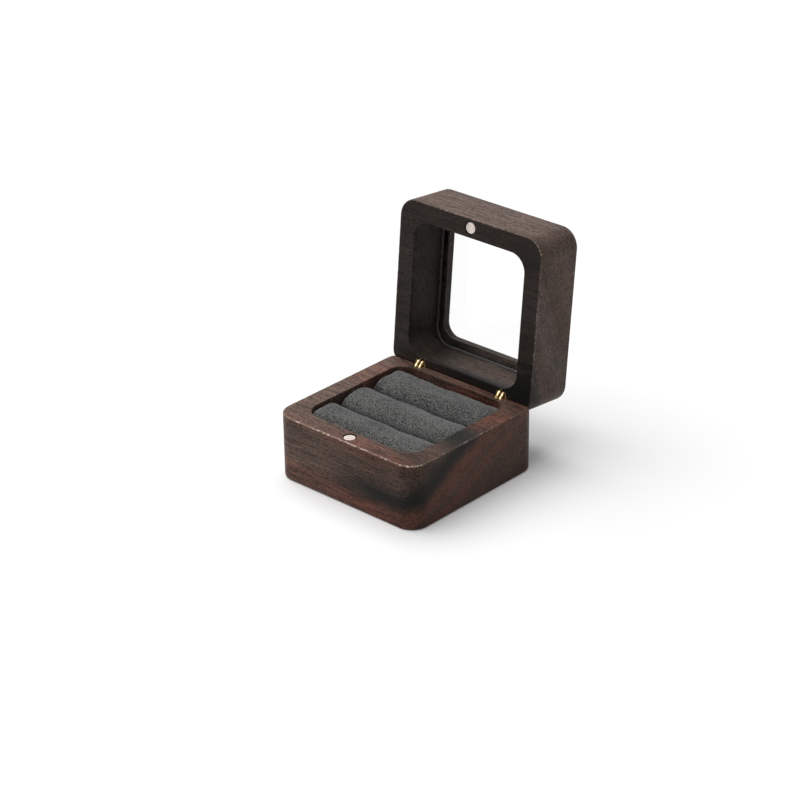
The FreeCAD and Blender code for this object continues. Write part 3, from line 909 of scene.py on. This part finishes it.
def roll_surface(index, rolls, material, name):
    """One cushion roll as a closed skin.

    Over its plan, a grid of places along (x) and across (y), the height is shoulder + rise * A * E * C.
    A is a superellipse across the roll, E is made the same way along its rounded ends, and C turns it
    down where it follows a corner of the pocket. Noise moves the crest a little. Skirts then drop to
    the board.
    """
    half_x, half_y, corner = BOARD_HIGH.x, BOARD_HIGH.y, BOARD_CORNER
    along, across = (np.linspace(-1, 1, count) * np.pi / 2 for count in ROLL_POINTS)
    crowded = 0.94               # how strongly the points crowd towards the ends
    along, spread = np.sin(along * crowded), np.sin(across)
    x = along / along[-1] * half_x
    low, high = lane(index, x, rolls)
    y = (low + high)[:, None] / 2 + (high - low)[:, None] / 2 * spread
    x = np.broadcast_to(x[:, None], y.shape)

    nominal_low = np.full_like(y, -half_y) if index == 0 else low[:, None]
    nominal_high = np.full_like(y, half_y) if index == rolls.count - 1 else high[:, None]
    eta = (2 * y - nominal_low - nominal_high) / (nominal_high - nominal_low)
    by_wall = (index == 0) & (eta < 0) | (index == rolls.count - 1) & (eta > 0)
    by_wall_power, by_slot_power, crown_power, end_power = 4.5, 2.5, 2.2, 2.3
    side_power = np.where(by_wall, by_wall_power, by_slot_power)
    arch = np.clip(1 - np.abs(np.clip(eta, -1, 1)) ** side_power, 0, 1) ** (1 / crown_power)
    end = np.clip((np.abs(x) - (half_x - rolls.end_round)) / rolls.end_round, 0, 1)
    ends = np.clip(1 - end ** end_power, 0, 1) ** (1 / end_power)
    from_corner = np.hypot(np.maximum(np.abs(x) - (half_x - corner), 0),
                           np.maximum(np.abs(y) - (half_y - corner), 0))
    room = np.clip((corner - from_corner) / CORNER_ROOM, 0, 1)
    corners = np.sqrt(1 - (1 - room) ** 2)
    both = (np.abs(x) > half_x - corner) & (np.abs(y) > half_y - corner)
    corners = np.where(both, corners, 1.0)
    flat = np.stack((x, y), axis=-1)
    swell = wave_noise(flat, CREST_WAVE, seed=60 + index) * rolls.unevenness
    rise = rolls.shoulder - rolls.crest
    lift = arch * (END_RISE + (1 - END_RISE) * ends) * (CORNER_RISE + (1 - CORNER_RISE) * corners)
    z = RIM - rolls.shoulder + lift * rise + swell * lift ** 2
    z = np.minimum(z, RIM - TOP_SHARE * rolls.crest)
    top = np.stack((x, y, z), axis=-1)

    rows, columns = top.shape[:2]
    numbers = np.arange(rows * columns).reshape(rows, columns)
    border = np.concatenate((numbers[0, :-1], numbers[:-1, -1], numbers[-1, :0:-1], numbers[:0:-1, 0]))
    edge = top.reshape(-1, 3)[border]
    floor = edge * (1, 1, 0) + (0, 0, BOARD_HIGH.z)
    skirts = between(edge, floor, np.linspace(0, 1, SKIRT_STEPS)[1:, None, None])
    points = np.concatenate((top.reshape(-1, 3), skirts.reshape(-1, 3)))
    ring = np.concatenate((border[None], rows * columns + np.arange(skirts.shape[0] * len(border))
                           .reshape(skirts.shape[0], -1)))
    turned = np.roll(ring, -1, axis=1)
    sides = np.stack((ring[:-1], ring[1:], turned[1:], turned[:-1]), axis=-1).reshape(-1, 4)
    quads = np.concatenate((grid_faces(rows, columns, around=False), sides))[:, ::-1]
    faces = quads.tolist() + [ring[-1].tolist()]
    return new_piece(name, points, faces, material, flat_over=math.radians(60))


def stuffed(skin, index, rolls):
    """The skin of a roll swollen by its foam, by a cloth simulation that is then applied.

    The skin is scaled up CLOTH_SCALE times and remeshed in even cells. Its sides and foot are held,
    and its crown swells under pressure. Each point then goes from its start towards its swollen
    place, by the cap at most, and stays in the roll's lane, over the board and under the rim.
    """
    scene, layer = bpy.context.scene, bpy.context.view_layer
    skin.data.transform(Matrix.Scale(CLOTH_SCALE, 4))
    layer.objects.active = skin
    cells = skin.modifiers.new("cells", "REMESH")
    cells.mode, cells.voxel_size, cells.use_smooth_shade = "VOXEL", rolls.cell * CLOTH_SCALE, True
    bpy.ops.object.modifier_apply(modifier=cells.name)
    start = vertex_places(skin.data)
    held = skin.vertex_groups.new(name="held")
    below = np.flatnonzero(start[:, 2] < (RIM - rolls.shoulder) * CLOTH_SCALE)
    held.add(below.tolist(), 1.0, "REPLACE")
    cloth = skin.modifiers.new("cloth", "CLOTH")
    cloth.settings.vertex_group_mass = held.name
    cloth.settings.use_pressure = True
    cloth.settings.uniform_pressure_force = rolls.stuffing
    cloth.settings.effector_weights.gravity = 0.0
    cloth.collision_settings.use_collision = False
    for number in range(1, CLOTH_FRAMES + 1):
        scene.frame_set(number)
    graph = bpy.context.evaluated_depsgraph_get()
    move = (vertex_places(skin.evaluated_get(graph).data) - start) / CLOTH_SCALE
    start /= CLOTH_SCALE
    skin.modifiers.remove(cloth)
    scene.frame_set(1)
    reach = np.linalg.norm(move, axis=1, keepdims=True)
    points = start + move * np.minimum(1.0, rolls.swell_cap / np.maximum(reach, 1e-9))
    points[:, 0] = np.clip(points[:, 0], -BOARD_HIGH.x, BOARD_HIGH.x)
    points[:, 1] = np.clip(points[:, 1], *lane(index, points[:, 0], rolls))
    points[:, 2] = np.clip(points[:, 2], BOARD_HIGH.z, RIM - TOP_SHARE * rolls.crest)
    skin.data.vertices.foreach_set("co", points.ravel())
    skin.data.update()
    finer = skin.modifiers.new("finer", "SUBSURF")
    finer.levels = finer.render_levels = 1
    return skin


# ---- operators ----

def dress(nodes, material):
    """Give frame nodes a finish."""
    for name in nodes:
        for slot in frame["nodes"][name].material_slots:
            slot.material = material


def ease_edges(piece, width):
    """Round the sharp edges of a frame node: join its faces' shared corners, and then bevel."""
    weld = piece.modifiers.new("weld", "WELD")
    weld.merge_threshold = 0.001 * MM
    bevel = piece.modifiers.new("ease", "BEVEL")
    bevel.width, bevel.segments = width, 3
    bevel.limit_method, bevel.angle_limit = "ANGLE", math.radians(40)
    bevel.harden_normals = True


class RINGBOX_OT_wood_blocks(bpy.types.Operator):
    """Make the two hardwood blocks, the base with its pocket and the lid with its window"""
    bl_idname = "ring_box.wood_blocks"
    bl_label = "Wood Blocks"

    def execute(self, context):
        sizes, finish = look(context, "block"), look(context, "wood")
        half = (HALF_WIDTH / MM, HALF_DEPTH / MM, 0.0)
        mouth = ((BOARD_HIGH.x + sizes.board_gap) / MM, (BOARD_HIGH.y + sizes.board_gap) / MM, 0.0)
        rim, corner, mouth_corner = RIM / MM, sizes.corner / MM, sizes.pocket_corner / MM
        seam = rim + sizes.seam_gap / MM
        top = seam + sizes.lid_height / MM
        brown, light, red, ash = finish.brown, finish.light, finish.red, finish.ash
        holes = [tuple(part / MM for part in place[:4]) for place in hole_places(sizes, RIM, -1)]
        base_edges = [(half, corner, rim)]
        lid_edges = [(half, corner, seam), (half, corner, top)]
        base_layers = [(5.0, brown), (9.0, red), (12.5, brown), (16.0, red), (20.5, red), (24.0, light),
                       (29.0, brown), (34.0, brown), (37.0, red), (41.0, brown)]
        lid_layers = [(6.0, brown), (10.0, red), (13.0, ash), (20.0, brown), (26.0, ash), (33.0, brown),
                      (41.0, light)]
        oiled = wood_material("walnut_base", None, finish, (0, 0, 0), base_layers, (23.8, 6.5, 0.0),
                              base_edges, 0.3, (0.32, 0.18), (0.35, 1.0), holes)
        base = base_block(sizes, oiled)
        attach(base, "base")
        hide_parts("base_body")
        seat = (mouth, mouth_corner, top - sizes.window_lip / MM)
        oiled = wood_material("walnut_lid", lid_closing(), finish, (137.0, 61.0, 43.0), lid_layers,
                              (13.0, 5.0, -6.0), lid_edges, 0.12, (-0.2, 0.24), (0.3, 0.3), holes,
                              seat, 0.75)
        lid = lid_block(sizes, oiled)
        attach(lid, "lid")
        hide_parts("lid_frame")
        return {"FINISHED"}


class RINGBOX_OT_cushion(bpy.types.Operator):
    """Make the velvet rolls that hold the rings, and finish the board under them"""
    bl_idname = "ring_box.cushion"
    bl_label = "Cushion"

    def execute(self, context):
        rolls, finish = look(context, "rolls"), look(context, "soft")
        velvet = velvet_material(finish)
        for index, place in enumerate(("front", "middle", "rear")):
            roll = roll_surface(index, rolls, velvet, place + "_velvet_roll")
            stuffed(roll, index, rolls)
            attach(roll, "base")
            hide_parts(place + "_roll_cover", place + "_roll_core")
        dress(["cushion_board"], card_material(finish))
        return {"FINISHED"}


class RINGBOX_OT_window(bpy.types.Operator):
    """Finish the pane and the glue bead round it"""
    bl_idname = "ring_box.window"
    bl_label = "Window"

    def execute(self, context):
        dress(["window_glass"], pane_material())
        dress(["glass_bead"], bead_material())
        return {"FINISHED"}


class RINGBOX_OT_magnets(bpy.types.Operator):
    """Finish the two nickelled magnets"""
    bl_idname = "ring_box.magnets"
    bl_label = "Magnets"

    def execute(self, context):
        finish = look(context, "metal")
        nickel = metal_material("nickel", finish.nickel, linear(178, 160, 152), 0.5, 0.34, 0.5)
        dress(["base_magnet", "lid_magnet"], nickel)
        return {"FINISHED"}


class RINGBOX_OT_hinges(bpy.types.Operator):
    """Finish the barrels, links and pins of the two hinges"""
    bl_idname = "ring_box.hinges"
    bl_label = "Hinges"

    def execute(self, context):
        finish = look(context, "metal")
        brass = metal_material("brass", finish.brass, finish.tarnish, 1.3, 0.2, 0.42)
        names = [name for name in frame["nodes"] if name.endswith(("_barrel", "_link", "_pin"))]
        dress(names, brass)
        for name in names:
            ease_edges(frame["nodes"][name], finish.edge_round)
        return {"FINISHED"}


def seen_directly(sheet):
    """One for camera, mirror and glass rays, and nothing for the rest."""
    rays = sheet.add("ShaderNodeLightPath").outputs
    mirror = sheet.most(rays["Is Glossy Ray"], rays["Is Transmission Ray"])
    return sheet.most(rays["Is Camera Ray"], mirror)


def studio_world(studio):
    """White where it is seen, and a plain soft light everywhere else."""
    world = bpy.data.worlds.new("studio")
    bpy.context.scene.world = world
    world.use_nodes = True
    sheet = Sheet(world.node_tree)
    strength = sheet.times_plus(seen_directly(sheet), 1.0 - studio.sky, studio.sky)
    sheet.fill(world.node_tree.nodes["Background"], {"Color": (1, 1, 1, 1), "Strength": strength})


def studio_floor(studio):
    """A square of floor, and the glow that lifts it to white where nothing shades it."""
    material, s, shader, here = new_material("floor")
    grain = s.noise(here, scale=0.02, detail=2.0)
    tone = s.mix(grain, studio.floor, (*[0.985 * part for part in studio.floor[:3]], 1.0))
    s.fill(shader, {"Base Color": tone, "Roughness": 0.9, "Specular IOR Level": 0.0})
    glow = s.add("ShaderNodeEmission", {"Color": (1, 1, 1, 1),
                                        "Strength": s.times(seen_directly(s), studio.floor_glow)})
    both = s.add("ShaderNodeAddShader", {0: shader.outputs[0], 1: glow.outputs[0]})
    s.fill(s.tree.nodes["Material Output"], {"Surface": both.outputs[0]})
    steps = np.linspace(-4, 4, 9)
    x, y = np.meshgrid(steps, steps)
    points = np.stack((x, y, np.full_like(x, BASE_LOW.z - FLOOR_DROP)), axis=-1).reshape(-1, 3)
    floor = new_piece("floor", points, grid_faces(9, 9, around=False).tolist(), material)


def studio_sun(studio):
    """One large soft sun from the upper left, a little in front."""
    data = bpy.data.lights.new("key", "SUN")
    data.energy, data.angle = studio.key, studio.key_softness
    towards = Vector((-0.34, -0.08, 0.94))
    put("key", data).rotation_euler = towards.to_track_quat("Z", "Y").to_euler()


def studio_camera():
    """A long lens looking down on the box from its front right corner."""
    azimuth, elevation = math.radians(42.653), math.radians(26.883)
    roll, distance, target = math.radians(-0.762), 0.800175, Vector((-0.0027, 0.0, 0.024857))
    back = Vector((math.sin(azimuth) * math.cos(elevation), -math.cos(azimuth) * math.cos(elevation),
                   math.sin(elevation)))
    data = bpy.data.cameras.new("camera")
    data.lens, data.sensor_width = 111.592, 36.0
    data.clip_start, data.clip_end = 0.02, 20.0
    camera = put("camera", data)
    upright = back.to_track_quat("Z", "Y").to_matrix().to_4x4()
    turned = upright @ Matrix.Rotation(roll, 4, "Z")
    camera.matrix_world = Matrix.Translation(target + back * distance) @ turned
    bpy.context.scene.camera = camera


class RINGBOX_OT_studio(bpy.types.Operator):
    """Lay the pale floor and set up the soft light and the camera"""
    bl_idname = "ring_box.studio"
    bl_label = "Studio"

    def execute(self, context):
        studio = look(context, "studio")
        context.scene.view_settings.view_transform = "Standard"
        studio_world(studio)
        studio_floor(studio)
        studio_sun(studio)
        studio_camera()
        return {"FINISHED"}


OPERATORS = (RINGBOX_OT_studio, RINGBOX_OT_wood_blocks, RINGBOX_OT_cushion, RINGBOX_OT_window,
             RINGBOX_OT_magnets, RINGBOX_OT_hinges)


class RINGBOX_PT_sidebar(bpy.types.Panel):
    """Buttons and sizes of the ring box"""
    bl_label = "Ring Box"
    bl_idname = "RINGBOX_PT_sidebar"
    bl_space_type = "VIEW_3D"
    bl_region_type = "UI"
    bl_category = "Ring Box"

    def draw(self, context):
        for operator in OPERATORS:
            self.layout.operator(operator.bl_idname)
        for name, group in GROUPS.items():
            column = self.layout.column(heading=name.title())
            for key in group.__annotations__:
                column.prop(look(context, name), key)


CLASSES = (*GROUPS.values(), *OPERATORS, RINGBOX_PT_sidebar)


def register():
    """Register the classes and hang the property groups on the scene."""
    for made in CLASSES:
        bpy.utils.register_class(made)
    for name, group in GROUPS.items():
        setattr(bpy.types.Scene, "ring_box_" + name, bpy.props.PointerProperty(type=group))


def unregister():
    """Take everything off again."""
    for name in GROUPS:
        delattr(bpy.types.Scene, "ring_box_" + name)
    for made in reversed(CLASSES):
        bpy.utils.unregister_class(made)


def main():
    """Make the whole scene."""
    register()
    bpy.ops.ring_box.studio()
    bpy.ops.ring_box.wood_blocks()
    bpy.ops.ring_box.cushion()
    bpy.ops.ring_box.window()
    bpy.ops.ring_box.magnets()
    bpy.ops.ring_box.hinges()


if __name__ == "__main__":
    main()
